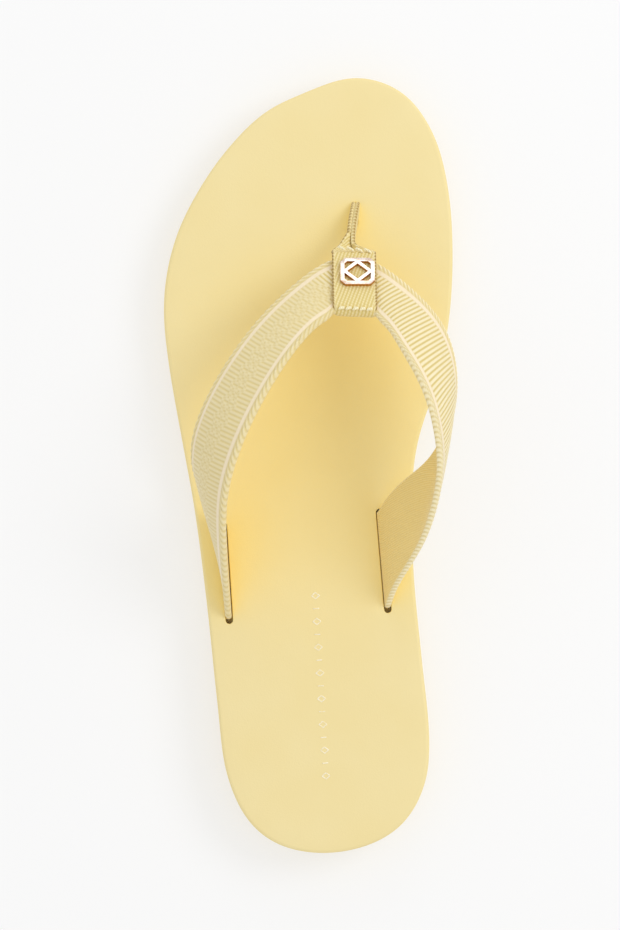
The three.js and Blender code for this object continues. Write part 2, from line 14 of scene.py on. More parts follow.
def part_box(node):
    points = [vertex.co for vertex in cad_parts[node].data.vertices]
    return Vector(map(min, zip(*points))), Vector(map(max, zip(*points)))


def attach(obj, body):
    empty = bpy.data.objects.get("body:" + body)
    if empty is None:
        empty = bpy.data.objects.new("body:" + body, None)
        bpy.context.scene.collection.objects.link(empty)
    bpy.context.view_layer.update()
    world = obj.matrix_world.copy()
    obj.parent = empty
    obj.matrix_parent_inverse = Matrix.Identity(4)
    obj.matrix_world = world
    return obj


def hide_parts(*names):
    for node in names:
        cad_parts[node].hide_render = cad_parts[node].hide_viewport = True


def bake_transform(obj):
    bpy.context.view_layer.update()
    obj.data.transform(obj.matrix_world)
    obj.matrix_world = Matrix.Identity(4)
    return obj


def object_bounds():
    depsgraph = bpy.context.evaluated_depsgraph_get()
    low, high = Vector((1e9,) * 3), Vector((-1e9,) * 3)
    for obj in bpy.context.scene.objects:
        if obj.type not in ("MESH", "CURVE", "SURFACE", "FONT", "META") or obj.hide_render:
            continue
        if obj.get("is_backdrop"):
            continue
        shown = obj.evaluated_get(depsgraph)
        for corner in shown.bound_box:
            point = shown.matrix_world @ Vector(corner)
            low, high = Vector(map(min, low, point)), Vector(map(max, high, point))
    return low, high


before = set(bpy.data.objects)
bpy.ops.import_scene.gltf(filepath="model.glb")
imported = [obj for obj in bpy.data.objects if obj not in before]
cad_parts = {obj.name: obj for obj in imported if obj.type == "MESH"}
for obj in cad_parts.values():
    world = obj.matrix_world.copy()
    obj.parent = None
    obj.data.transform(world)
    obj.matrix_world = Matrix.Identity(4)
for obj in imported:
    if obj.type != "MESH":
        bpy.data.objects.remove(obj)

MM = 0.001
CAD_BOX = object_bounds()

# ---- driving values
EDGE_RADIUS = 1.1 * MM  # rounded edge of the footbed
LAYER_RADIUS = 0.6 * MM  # rounded edges of the two lower layers
SLOT_RADIUS = 0.35 * MM  # rounded rim of a slot
SLOT_CLOSING = 0.4 * MM  # how far the foam closes in on the webbing from each side
TOE_SLOT_CLOSING = 1.0 * MM  # the same at the toe slot, where it grips the folded tape
OUTLINE_STEP = 1.5 * MM  # between the points of a sole outline
WEAVE_PITCH = 1.5 * MM  # of the ribs across the webbing
SELVEDGE = 2.1 * MM  # width of the roped edge of the webbing
SATIN = 1.1 * MM  # width of the smooth stripe beside it
LATERAL_ROPE_PITCH = 2.4 * MM  # of the strands along the roped edge
MEDIAL_ROPE_PITCH = 1.7 * MM
ROPE_RISE, RIB_RISE, SATIN_RISE = 0.36, 0.26, 0.16  # of the weave above its cloth, in mm
THREAD_RADIUS = 0.52 * MM
ROPE_LEAN = 1.7  # how far a strand runs along the edge for each step across it
PINCH = 1.4 * MM  # how much narrower the webbing is where the toe tape is folded round it
LATERAL_TRIM = 1.0 * MM  # how much narrower it is half way along its lateral side
MEDIAL_SPREAD = 0.9 * MM  # how much wider it is half way along its medial side
MEDIAL_LEAN = 0.32  # how far the ribs lean over by the medial slot, as a slope
LEAN_LENGTH = 55 * MM  # length of webbing over which they come to lean so
MOTIF_END = -8 * MM  # where the lozenges start, along the webbing from the toe tape
WEBBING_STEP = 0.28 * MM  # between the rows of points along the webbing
OUTER_POINTS = 96  # in a row, across the webbing's outer side
INNER_POINTS = 26  # and across its inner side
MIDDLE_COLUMN = OUTER_POINTS // 2
WEBBING_HALF = 0.9 * MM  # half its thickness
TAPE_HALF = 0.6 * MM  # half the toe tape's thickness
TAPE_WIDTH = 14.4 * MM
TAPE_STEP = 0.2 * MM  # between the rows of points along the tape
TWILL_PITCH = 1.15 * MM  # of the diagonal ribs on the tape
MEDIAL_SHUT = 0.24  # share of the toe post's length over which the tape's right half folds shut
LATERAL_SHUT = 0.44  # and over which the crease in its left half reaches the edge
CREASE_WIDTH = 1 * MM  # of the bend where the tape's left half lies open beyond its shut part
FACET_LEAN = 0.2  # slope of that open part, as a share of a right angle
FOLD_START = 0.2  # depth of the tape's fold where it leaves the strap, as a share of its full depth
FOLD_FULL = 0.55  # share of the toe post's length at which the fold has its full depth
POST_BOW = 1.1 * MM  # how far the toe post bows to the side
REAR_CORNER = 1.3 * MM  # rounding of the tape's rear corners
REAR_SKEW = 0.055  # slope of the tape's rear fold across the foot
TREAD_PITCH = 8 * MM  # between the grooves under the sole
TREAD_DEPTH = 1 * MM
PRINT_MARKS = 15
PRINT_SIZE = 2.6 * MM  # of one foil mark
FOIL_STROKE = 0.42 * MM  # width of its strokes
FOIL_THICKNESS = 0.1 * MM


# ---- reading the frame
def welded(node):
    """Corner points (n, 3) and faces of a CAD node, with corners at one place joined."""
    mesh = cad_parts[node].data
    points = np.array([v.co for v in mesh.vertices])
    unique, index = np.unique(np.round(points, 7), axis=0, return_inverse=True)
    index = index.reshape(-1)
    return unique, [tuple(int(index[v]) for v in face.vertices) for face in mesh.polygons]


def level_faces(node, up):
    """The faces of a layer that look up, or down."""
    points, faces = welded(node)
    for face in faces:
        normal = geometry.normal([Vector(points[i]) for i in face])
        if normal.z * (1 if up else -1) > 0.9:
            yield points, face


def cap_loops(node):
    """Closed outlines (n, 2) of a layer's top face: its outer edge and its slots."""
    edges = set()
    for points, face in level_faces(node, True):
        for a, b in zip(face, face[1:] + face[:1]):
            if (b, a) in edges:
                edges.remove((b, a))
            else:
                edges.add((a, b))
    following = dict(edges)
    loops = []
    while following:
        first, here = following.popitem()
        loop = [first]
        while here != first:
            loop.append(here)
            here = following.pop(here)
        loops.append(points[loop][:, :2])
    return loops


def height_along(nodes, up):
    """The height of a sole surface as a smooth function of y."""
    samples = {}
    for node in nodes:
        for points, face in level_faces(node, up):
            samples.update((points[i][1], points[i][2]) for i in face)
    ys = np.array(sorted(samples))
    fine = np.arange(ys[0], ys[-1], MM)
    heights = np.interp(fine, ys, [samples[y] for y in ys])
    reach = 12
    window = np.hanning(2 * reach + 3)[1:-1]
    padded = np.pad(heights, reach, mode="edge")
    smooth = np.convolve(padded, window / window.sum(), mode="valid")
    return lambda y: np.interp(y, fine, smooth)


# ---- numbers along a length
def ramp(value, length):
    """0 up to nothing, rising evenly to 1 at a length."""
    return np.clip(value / length, 0, 1)


def ripple(turns):
    """1 at each whole turn and 0 half way between."""
    return 0.5 + 0.5 * np.cos(2 * math.pi * turns)


# ---- outlines
def length_along(points):
    steps = np.linalg.norm(np.diff(points, axis=0), axis=1)
    return np.concatenate([[0], np.cumsum(steps)])


def respaced(loop, step):
    """A closed outline with its points evenly spaced."""
    closed = np.vstack([loop, loop[:1]])
    length = length_along(closed)
    places = np.linspace(0, length[-1], max(8, round(length[-1] / step)), endpoint=False)
    return np.stack([np.interp(places, length, closed[:, k]) for k in range(loop.shape[1])], 1)


def smoothed(loop, reach):
    """A closed outline averaged over a few of its points each way."""
    window = np.hanning(2 * reach + 3)[1:-1]
    window /= window.sum()
    result = np.zeros_like(loop)
    for offset, weight in zip(range(-reach, reach + 1), window):
        result += weight * np.roll(loop, offset, axis=0)
    return result


def sole_outline(heel, forefoot):
    """One smooth anticlockwise outline round a layer that is cut in two at the ball line."""
    loops = [max(cap_loops(node), key=lambda loop: np.ptp(loop[:, 0])) for node in (heel, forefoot)]
    cut = (loops[0][:, 1].max() + loops[1][:, 1].min()) / 2
    points = np.concatenate(loops)
    points = points[abs(points[:, 1] - cut) > 0.5 * MM]
    order = np.argsort(np.arctan2(points[:, 1], points[:, 0]))
    fine = respaced(points[order], 0.5 * MM)
    return respaced(smoothed(fine, 12), OUTLINE_STEP)


def slots(node):
    """The small closed outlines inside a layer's top face, clockwise made anticlockwise."""
    found = []
    for loop in cap_loops(node):
        if np.ptp(loop[:, 0]) < 20 * MM:
            fine = respaced(loop, 0.7 * MM)
            found.append(fine if area(fine) > 0 else fine[::-1])
    return found


def area(loop):
    x, y = loop.T
    return 0.5 * np.sum(x * np.roll(y, -1) - y * np.roll(x, -1))


def offset(loop, inward):
    """A closed anticlockwise outline moved inward by a distance."""
    ahead = np.roll(loop, -1, 0) - np.roll(loop, 1, 0)
    ahead /= np.linalg.norm(ahead, axis=1)[:, None]
    return loop + inward * np.stack([-ahead[:, 1], ahead[:, 0]], 1)


def inside(points, loop):
    x, y = points[:, 0, None], points[:, 1, None]
    ax, ay = loop.T
    bx, by = np.roll(loop, -1, 0).T
    crosses = (ay > y) != (by > y)
    rise = np.where(by == ay, 1, by - ay)
    return (crosses & (x < ax + (y - ay) / rise * (bx - ax))).sum(1) % 2 == 1


def in_region(points, outer, holes):
    kept = inside(points, outer)
    for hole in holes:
        kept &= ~inside(points, hole)
    return kept


def distances_to(targets):
    """A function that gives how far points (n, 2) lie from the nearest target."""
    tree = kdtree.KDTree(len(targets))
    for i, (x, y) in enumerate(targets):
        tree.insert((x, y, 0), i)
    tree.balance()
    return lambda points: np.array([tree.find((x, y, 0))[2] for x, y in points])


# ---- building meshes
def place_in_scene(name, data):
    made = bpy.data.objects.new(name, data)
    bpy.context.scene.collection.objects.link(made)
    return made


def new_object(name, points, faces, material):
    mesh = bpy.data.meshes.new(name)
    mesh.from_pydata([tuple(p) for p in points], [], faces)
    mesh.validate()
    mesh.polygons.foreach_set("use_smooth", [True] * len(mesh.polygons))
    mesh.materials.append(material)
    return place_in_scene(name, mesh)


def face_outward(made):
    bm = bmesh.new()
    bm.from_mesh(made.data)
    bmesh.ops.recalc_face_normals(bm, faces=bm.faces)
    bm.to_mesh(made.data)
    bm.free()


def ring_faces(first, rings, around, closed=False):
    """Faces that join each ring of points to the next, and the last to the first if closed."""
    faces = []
    for k in range(rings if closed else rings - 1):
        here, there = first + k * around, first + (k + 1) % rings * around
        for i in range(around):
            step = (i + 1) % around
            faces.append((here + i, here + step, there + step, there + i))
    return faces


def end_faces(first, rings, around):
    """The flat faces that close the first and the last of a row of rings."""
    last = first + (rings - 1) * around
    return [tuple(range(first, first + around)), tuple(reversed(range(last, last + around)))]


def fill(outer, holes, pitch):
    """Triangles over a flat region: boundary points first, then a grid of new points."""
    boundary = np.concatenate([outer, *holes])
    low, high = outer.min(0), outer.max(0)
    rows = np.arange(low[1], high[1], pitch * math.sqrt(3) / 2)
    grid = [
        (x + (k % 2) * pitch / 2, y)
        for k, y in enumerate(rows)
        for x in np.arange(low[0], high[0], pitch)
    ]
    grid = np.array(grid)
    grid = grid[in_region(grid, outer, holes)]
    grid = grid[distances_to(boundary)(grid) > 0.6 * pitch]
    flat = np.concatenate([boundary, grid])
    edges, start = [], 0
    for loop in (outer, *holes):
        count = len(loop)
        edges += [(start + i, start + (i + 1) % count) for i in range(count)]
        start += count
    made = geometry.delaunay_2d_cdt([Vector(p) for p in flat], edges, [], 0, 1e-9, True)
    source = [ids[0] for ids in made[3]]
    triangles = np.array([[source[i] for i in face] for face in made[2]])
    return grid, triangles[in_region(flat[triangles].mean(1), outer, holes)]


def rim(loop, turn, inward, drop, height):
    """A slab's edge at a turn round its rounded rim: 0 on its face, a right angle on its side."""
    flat = offset(loop, inward * (1 - math.sin(turn)))
    return flat, height(flat[:, 1]) - drop * (1 - math.cos(turn))


def slab(name, outline, holes, top, bottom, radius, pitch, material, relief=None):
    """A closed foam sheet with rounded edges, and slots right through it.

    top and bottom are heights as functions of y. relief moves the points of the bottom face up.
    """
    points, faces = [], []
    loops = [(outline, radius, 1)] + [(hole, SLOT_RADIUS, -1) for hole in holes]
    top_rings, bottom_rings = [], []
    for loop, r, inward in loops:
        quarter = [math.radians(a) for a in (0, 22.5, 45, 67.5, 90)]
        rings = [rim(loop, a, inward * r, r, top) for a in quarter]
        high, low = top(loop[:, 1]) - r, bottom(loop[:, 1]) + r
        rings += [(loop, high + (low - high) * share) for share in (0.25, 0.5, 0.75)]
        rings += [rim(loop, a, inward * r, -r, bottom) for a in reversed(quarter)]
        first, count = len(points), len(loop)
        for flat, height in rings:
            points += [(x, y, z) for (x, y), z in zip(flat, height)]
        faces += ring_faces(first, len(rings), count)
        top_rings.append((rings[0][0], first))
        bottom_rings.append((rings[-1][0], first + (len(rings) - 1) * count))
    for rings, height, lift in ((top_rings, top, None), (bottom_rings, bottom, relief)):
        flats = [flat for flat, _ in rings]
        names = np.concatenate([np.arange(len(flat)) + first for flat, first in rings])
        grid, triangles = fill(flats[0], flats[1:], pitch if lift is None else 1.0 * MM)
        names = np.concatenate([names, np.arange(len(grid)) + len(points)])
        z = height(grid[:, 1])
        if lift is not None:
            z = z + lift(grid)
        points += [(x, y, h) for (x, y), h in zip(grid, z)]
        faces += [tuple(int(names[i]) for i in t) for t in triangles]
    made = new_object(name, points, faces, material)
    face_outward(made)
    return made


def tube_grid(name, rings, material, attributes):
    """A closed skin through rings of points (rows, around, 3), with a flat cap on each end."""
    rows, around = rings.shape[:2]
    faces = ring_faces(0, rows, around) + end_faces(0, rows, around)
    made = new_object(name, rings.reshape(-1, 3), faces, material)
    for key, values in attributes.items():
        kind = "FLOAT_VECTOR" if values.shape[-1] == 3 and values.ndim == 3 else "FLOAT"
        layer = made.data.attributes.new(key, kind, "POINT")
        layer.data.foreach_set(
            "vector" if kind == "FLOAT_VECTOR" else "value", values.astype(np.float32).ravel()
        )
    face_outward(made)
    return made


def bevelled_copy(name, node, width, material, segments):
    """A CAD solid's shape with its sharp edges rounded."""
    points, faces = welded(node)
    made = new_object(name, points, faces, material)
    bm = bmesh.new()
    bm.from_mesh(made.data)
    bmesh.ops.recalc_face_normals(bm, faces=bm.faces)
    bmesh.ops.dissolve_limit(bm, angle_limit=0.03, verts=bm.verts, edges=bm.edges)
    sharp = [e for e in bm.edges if len(e.link_faces) == 2 and e.calc_face_angle() > 0.6]
    bmesh.ops.bevel(
        bm, geom=sharp, offset=width, segments=segments, profile=0.5,
        affect="EDGES", clamp_overlap=True,
    )
    for face in bm.faces:
        face.smooth = True
    bm.to_mesh(made.data)
    bm.free()
    return made


def settle(made, node, slot, body):
    """Hides the CAD node that a piece stands for, and hangs the piece on the body that carries it.
    slot is not used.
    """
    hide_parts(node)
    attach(made, body)


# ---- material helpers
def colour(red, green, blue):
    """A colour given as it looks on screen, 0 to 255, made linear."""
    def linear(c):
        c /= 255
        return c / 12.92 if c <= 0.04045 else ((c + 0.055) / 1.055) ** 2.4
    return (linear(red), linear(green), linear(blue), 1)


class Nodes:
    """Short names for building a material's node tree."""

    def __init__(self, name):
        self.material = bpy.data.materials.new(name)
        self.material.use_nodes = True
        self.tree = self.material.node_tree
        self.tree.nodes.clear()
        self.shader = self.node("BsdfPrincipled")
        self.node("OutputMaterial", Surface=self.shader.outputs[0])

    def put(self, socket, value):
        if isinstance(value, bpy.types.NodeSocket):
            self.tree.links.new(value, socket)
        elif value is not None:
            socket.default_value = value

    def set(self, **inputs):
        for name, value in inputs.items():
            self.put(self.shader.inputs[name.replace("_", " ")], value)

    def node(self, kind, **inputs):
        """A new node, with values or links for the inputs that are named."""
        made = self.tree.nodes.new(f"ShaderNode{kind}")
        for name, value in inputs.items():
            self.put(made.inputs[name.replace("_", " ")], value)
        return made

    def operation(self, kind, name, *values):
        """A maths node's result. Its inputs share a name, so they are filled in order."""
        made = self.node(kind)
        made.operation = name
        for socket, value in zip(made.inputs, values):
            self.put(socket, value)
        return made.outputs

    def math(self, name, *values):
        return self.operation("Math", name, *values)[0]

    def attribute(self, name, output="Fac"):
        made = self.node("Attribute")
        made.attribute_name = name
        return made.outputs[output]

    def position(self, scale=1000.0):
        """Object coordinates, in millimetres unless scaled otherwise."""
        return self.scaled(self.node("TexCoord").outputs["Object"], (scale,) * 3)

    def scaled(self, vector, scale):
        return self.operation("VectorMath", "MULTIPLY", vector, scale)[0]

    def split(self, vector):
        return self.node("SeparateXYZ", Vector=vector).outputs

    def join(self, x, y):
        return self.node("CombineXYZ", X=x, Y=y).outputs[0]

    def noise(self, vector, scale, detail=3.0):
        made = self.node("TexNoise", Vector=vector, Scale=scale, Detail=detail, Roughness=0.55)
        return made.outputs[0]

    def remap(self, value, low, high, to_low=0.0, to_high=1.0):
        bounds = {"From_Min": low, "From_Max": high, "To_Min": to_low, "To_Max": to_high}
        return self.node("MapRange", Value=value, **bounds).outputs[0]

    def mix(self, factor, a, b, blend="MIX"):
        made = self.node("Mix")
        made.data_type = "RGBA"
        made.blend_type = blend
        for place, value in ((0, factor), (6, a), (7, b)):
            self.put(made.inputs[place], value)
        return made.outputs[2]

    def wave(self, phase):
        """0 to 1 and back, once for each whole number of phase."""
        turned = self.math("MULTIPLY", phase, 2 * math.pi)
        return self.math("MULTIPLY_ADD", self.math("COSINE", turned), 0.5)

    def openness(self, reach):
        """1 in the open, falling to 0 where the surface is shut in within a distance."""
        made = self.node("AmbientOcclusion", Distance=reach)
        made.samples = 6
        return made.outputs["AO"]

    def facing(self, direction):
        """1 where the surface faces a direction, 0 edge on to it."""
        normal = self.node("NewGeometry").outputs["Normal"]
        return self.operation("VectorMath", "DOT_PRODUCT", normal, direction)["Value"]

    def bump(self, height, depth, strength=1.0, normal=None):
        """Depth in millimetres for a height of one."""
        inputs = {"Height": height, "Distance": depth * MM, "Strength": strength}
        return self.node("Bump", Normal=normal, **inputs).outputs[0]


# ---- materials
def foam(name, base, warm, roughness, cell=0.5):
    """Cut foam or rubber: slight clouding, fine closed cells and a soft, dry surface.

    Its yellow is painted deeper where it is shut in: painted shade that stands for the light passing
    between it and the strap.
    """
    n = Nodes(name)
    place = n.position()
    clouds = n.noise(place, 0.045, 2.0)
    specks = n.noise(place, 2.2, 2.0)
    cells = n.node("TexVoronoi", Vector=place, Scale=1 / cell).outputs["Distance"]
    tint = n.remap(clouds, 0.3, 0.7, 0.0, 0.35)
    tone = n.mix(tint, base, warm)
    tone = n.mix(n.remap(specks, 0.55, 0.75, 0.0, 0.10), tone, warm)
    # painted shade: the side walls, turned away from the light, are painted in a darker warm tone
    side = n.remap(n.math("ABSOLUTE", n.facing((0, 0, 1))), 0.0, 0.9, 0.55, 0.0)
    tone = n.mix(side, tone, n.mix(0.5, warm, tuple(c * 0.86 for c in warm[:3]) + (1,)))
    # painted shade: a deeper, more saturated yellow where the foam is shut in by the strap or the
    # slots
    painted_shade_tone = n.mix(1.0, tone, (1.16, 1.11, 0.77, 1), "MULTIPLY")
    tone = n.mix(n.remap(n.openness(70 * MM), 0.4, 0.97), painted_shade_tone, tone)
    n.set(
        Base_Color=tone,
        Roughness=n.remap(specks, 0.3, 0.7, roughness - 0.06, roughness + 0.06),
        Normal=n.bump(cells, 0.03, 0.6, n.bump(specks, 0.021, 0.5)),
        Sheen_Weight=0.1,
        Specular_IOR_Level=0.35,
    )
    return n.material


def webbing_cloth():
    """Woven yellow webbing: ribs, satin stripes and roped selvedges outside, fine twill inside."""
    n = Nodes("webbing_cloth")
    along, across, outer = n.split(n.attribute("weave", "Vector"))
    ridge = n.attribute("ridge")
    satin = n.attribute("satin")
    place = n.join(along, across)
    fibres = n.noise(n.scaled(place, (1.0, 7.0, 1.0)), 1.3, 3.0)
    # painted shade and highlight: the ribs and rope strands are painted light on their raised threads
    # and dark in the gaps between them
    rib_shaded_tone = n.mix(n.remap(ridge, 0.15, 0.8), colour(219, 196, 121), colour(248, 236, 198))
    lateral = n.remap(along, -12.0, -4.0, 0.6, 0.0)
    rib_shaded_tone = n.mix(lateral, rib_shaded_tone, n.mix(0.75, rib_shaded_tone, colour(226, 208, 150)))
    satin_tone = n.mix(n.remap(fibres, 0.3, 0.7), colour(244, 226, 190), colour(252, 238, 212))
    outside = n.mix(satin, rib_shaded_tone, satin_tone)
    twill_phase = n.math("ADD", n.math("MULTIPLY", along, 1.35), n.math("MULTIPLY", across, 0.9))
    twill = n.wave(twill_phase)
    inside_tone = n.mix(n.remap(twill, 0.2, 0.8), colour(236, 210, 130), colour(247, 226, 160))
    tone = n.mix(outer, inside_tone, outside)
    tone = n.mix(n.remap(n.noise(place, 0.09, 2.0), 0.3, 0.7, 0.0, 0.12), tone, colour(233, 210, 140))
    # painted shade: a deeper yellow where the webbing is shut in, over the footbed and round the toe
    # tape
    painted_shade_tone = n.mix(1.0, tone, (1.02, 0.94, 0.66, 1), "MULTIPLY")
    tone = n.mix(n.remap(n.openness(25 * MM), 0.25, 0.85), painted_shade_tone, tone)
    thread_wave = n.wave(n.math("MULTIPLY", across, 3.1))
    picks = n.wave(n.math("MULTIPLY", along, 3.7))
    thread = n.mix(satin, thread_wave, picks)
    grain = n.math("MULTIPLY_ADD", thread, 0.5)
    fine = n.mix(outer, twill, grain)
    n.set(
        Base_Color=tone,
        Roughness=n.mix(satin, (0.82,) * 4, (0.55,) * 4),
        Sheen_Weight=0.35,
        Sheen_Roughness=0.4,
        Specular_IOR_Level=0.3,
        Normal=n.bump(fine, 0.09, 0.7, n.bump(fibres, 0.05, 0.6)),
    )
    return n.material


def tape_cloth():
    """The narrow twill of the toe tape, with painted shade along its edges, where they meet the
    webbing and each other.
    """
    n = Nodes("tape_cloth")
    along, across, edge = n.split(n.attribute("weave", "Vector"))
    ridge = n.attribute("ridge")
    fibres = n.noise(n.join(along, across), 2.6, 3.0)
    # painted shade and highlight: the twill and strands are painted light on their raised threads and
    # dark in the grooves between them
    tone = n.mix(n.remap(ridge, 0.1, 0.8), colour(219, 197, 122), colour(247, 232, 180))
    tone = n.mix(n.remap(fibres, 0.4, 0.7, 0.0, 0.5), tone, colour(218, 196, 124))
    # painted shade: the third part of weave darkens the tape's edges
    tone = n.mix(n.remap(edge, 0.1, 0.8), tone, colour(158, 122, 42))
    n.set(
        Base_Color=tone,
        Roughness=0.8,
        Sheen_Weight=0.25,
        Specular_IOR_Level=0.3,
        Normal=n.bump(fibres, 0.08, 0.7),
    )
    return n.material


def thread_cloth():
    """Thick glossy sewing thread."""
    n = Nodes("thread_cloth")
    fibres = n.noise(n.position(), 3.0, 3.0)
    n.set(
        Base_Color=n.mix(n.remap(fibres, 0.3, 0.7), colour(240, 226, 172), colour(253, 246, 214)),
        Roughness=0.6,
        Sheen_Weight=0.3,
        Normal=n.bump(fibres, 0.06, 0.6),
    )
    return n.material


def gilt_metal(face):
    """Polished pale rose gold, bright on its face, with a painted dark brown reflection round the
    rounded edges.
    """
    n = Nodes("gilt_metal")
    place = n.position()
    marks = n.noise(n.scaled(place, (0.4, 6.0, 1.0)), 1.2, 4.0)
    wear = n.noise(place, 0.5, 2.0)
    facing = n.facing(face)
    bright = n.mix(n.remap(wear, 0.4, 0.7), colour(250, 236, 228), colour(230, 200, 178))
    # painted reflection: the bevels, turned away from face, are painted dark brown for the dark
    # surroundings that they would reflect
    edge = n.mix(n.remap(facing, 0.0, 0.55), colour(206, 150, 80), colour(112, 70, 30))
    n.set(
        Base_Color=n.mix(n.remap(facing, 0.6, 0.93), edge, bright),
        Metallic=1.0,
        Roughness=n.remap(marks, 0.3, 0.7, 0.12, 0.24),
        Normal=n.bump(marks, 0.002, 0.4),
    )
    return n.material


def foil():
    """Pale printed foil, slightly broken up."""
    n = Nodes("print_foil")
    place = n.position()
    flecks = n.noise(place, 1.8, 3.0)
    n.set(
        Base_Color=n.mix(n.remap(flecks, 0.4, 0.65), colour(252, 244, 222), colour(244, 230, 186)),
        Metallic=0.15,
        Roughness=n.remap(flecks, 0.3, 0.7, 0.3, 0.5),
        Normal=n.bump(flecks, 0.02, 0.4),
    )
    return n.material


def plain_floor():
    n = Nodes("studio_floor")
    haze = n.noise(n.position(1.0), 6.0, 2.0)
    n.set(
        Base_Color=n.mix(haze, (0.40, 0.40, 0.40, 1), (0.41, 0.41, 0.41, 1)),
        Emission_Color=(1, 1, 1, 1),
        Emission_Strength=0.55,
        Roughness=0.9,
        Specular_IOR_Level=0.1,
    )
    return n.material


# ---- sole
SOLE = {
    layer: (f"{layer}_heel", f"{layer}_forefoot") for layer in ("footbed", "midsole", "outsole")
}
SOLE_TOP = height_along(SOLE["footbed"], True)
FOOTBED_LOW = height_along(SOLE["footbed"], False)


def sole_piece(layer, material, top, bottom, radius, pitch, holes=(), relief=None):
    """A whole layer of the sole in one piece, made over both of its CAD halves, which it hides."""
    outline = sole_outline(*SOLE[layer])
    relief = relief and relief(outline)
    made = slab(layer, outline, holes, top, bottom, radius, pitch, material, relief)
    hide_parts(*SOLE[layer])
    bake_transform(made)


def level(z):
    """A flat height as a function of y."""
    return lambda y: np.full_like(y, z)


def snug_slots():
    """The footbed's slots, closed up round the straps as soft foam does."""
    holes = []
    for hole in slots("footbed_heel"):
        outward = math.copysign(SLOT_CLOSING, hole[:, 0].mean())
        holes.append(offset(hole, SLOT_CLOSING) + np.array([outward, 0]))
    for hole in slots("footbed_forefoot"):
        snug = offset(hole, TOE_SLOT_CLOSING)
        front = tape_mouth().y - 0.3 * MM
        rear = tape_mouth().y - TAPE_WIDTH / 2 - 0.5 * MM
        share = (snug[:, 1] - snug[:, 1].min()) / np.ptp(snug[:, 1])
        snug[:, 1] = rear + share * (front - rear)
        holes.append(snug)
    return holes


def footbed():
    material = foam("footbed_foam", colour(242, 224, 166), colour(239, 218, 152), 0.62)
    sole_piece(
        "footbed", material, SOLE_TOP, FOOTBED_LOW, EDGE_RADIUS, 4 * MM, snug_slots()
    )


def midsole():
    glue = 0.1 * MM
    material = foam("midsole_foam", colour(245, 232, 204), colour(240, 222, 188), 0.7, cell=0.8)
    low = level(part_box("outsole_heel")[1].z + glue)
    sole_piece(
        "midsole", material, lambda y: FOOTBED_LOW(y) - glue, low,
        LAYER_RADIUS, 5 * MM,
    )


def tread_relief(outline):
    """Wavy cross-grooves that fade out towards the edge of the sole, and under the arch."""
    from_edge = distances_to(outline)

    def lift(points):
        x, y = points.T
        edge = from_edge(points)
        swept = y + 1.6 * MM * np.sin(x / (14 * MM) * 2 * math.pi)
        from_groove = abs((swept / TREAD_PITCH + 0.5) % 1 - 0.5) * TREAD_PITCH
        groove = ramp(1.3 * MM - from_groove, 1.3 * MM)
        fade = ramp(edge - 6 * MM, 3 * MM)
        arch = ramp(abs(y) - 12 * MM, 4 * MM)
        return TREAD_DEPTH * np.sqrt(groove) * fade * arch
    return lift


def outsole():
    low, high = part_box("outsole_heel")
    material = foam("outsole_rubber", colour(232, 205, 132), colour(224, 194, 116), 0.55, cell=1.2)
    sole_piece(
        "outsole", material, level(high.z), level(low.z), LAYER_RADIUS, 5 * MM,
        relief=tread_relief,
    )


# ---- webbing strap
def webbing_rows():
    """The webbing's middle surface, from the lateral slot to the medial one.

    It is read from the CAD solid's rings as points (rows, 5, 3), front edge to rear edge.
    """
    points, faces = welded("strap_webbing")
    linked = [set() for _ in points]
    for face in faces:
        for a in face:
            linked[a].update(face)
    lateral = [i for i, p in enumerate(points) if p[0] < 0]
    ring = sorted(lateral, key=lambda i: points[i][2])[:10]
    rearward = np.array([0, -1.0, 0])
    seen, middles = set(), []
    while ring:
        seen.update(ring)
        corners = points[ring]
        apart = np.linalg.norm(corners[:, None] - corners[None], axis=2) + np.eye(len(ring))
        partner = apart.argmin(1)
        pairs = sorted(
            {tuple(sorted((i, int(j)))) for i, j in enumerate(partner)},
            key=lambda pair: corners[list(pair)].sum(0) @ rearward,
        )
        middle = np.array([corners[list(pair)].mean(0) for pair in pairs])
        middles.append(middle)
        rearward = middle[-1] - middle[0]
        ring = sorted(set().union(*(linked[i] for i in ring)) - seen)
    return np.array(middles)


def catmull_rom(a, b, c, d, t):
    """The curve between b and c, at t from 0 to 1, given a point on each side of them."""
    cubic = 3 * b - a - 3 * c + d
    return 0.5 * (2 * b + (c - a) * t + (2 * a - 5 * b + 4 * c - d) * t**2 + cubic * t**3)


def spline(values, places):
    """Catmull-Rom through values (n, ...) at fractional indices."""
    padded = np.concatenate([2 * values[:1] - values[1:2], values, 2 * values[-1:] - values[-2:-1]])
    i = np.clip(np.floor(places).astype(int), 0, len(values) - 2)
    t = (places - i).reshape((-1,) + (1,) * (values.ndim - 1))
    return catmull_rom(*(padded[i + k] for k in range(4)), t)


def across_spline(columns, share):
    """Points at shares (rows, m) of the way across rows of five points (rows, 5, 3)."""
    padded = np.concatenate(
        [2 * columns[:, :1] - columns[:, 1:2], columns, 2 * columns[:, -1:] - columns[:, -2:-1]], 1
    )
    place = share * (columns.shape[1] - 1)
    i = np.clip(np.floor(place).astype(int), 0, columns.shape[1] - 2)
    t = (place - i)[..., None]
    return catmull_rom(*(np.take_along_axis(padded, (i + k)[..., None], 1) for k in range(4)), t)


def even_places(points, step):
    """Fractional indices at even steps along a line of points."""
    length = length_along(points)
    count = round(length[-1] / step)
    return np.interp(np.linspace(0, length[-1], count), length, np.arange(len(points)))


def unit(vectors):
    return vectors / np.linalg.norm(vectors, axis=-1, keepdims=True)


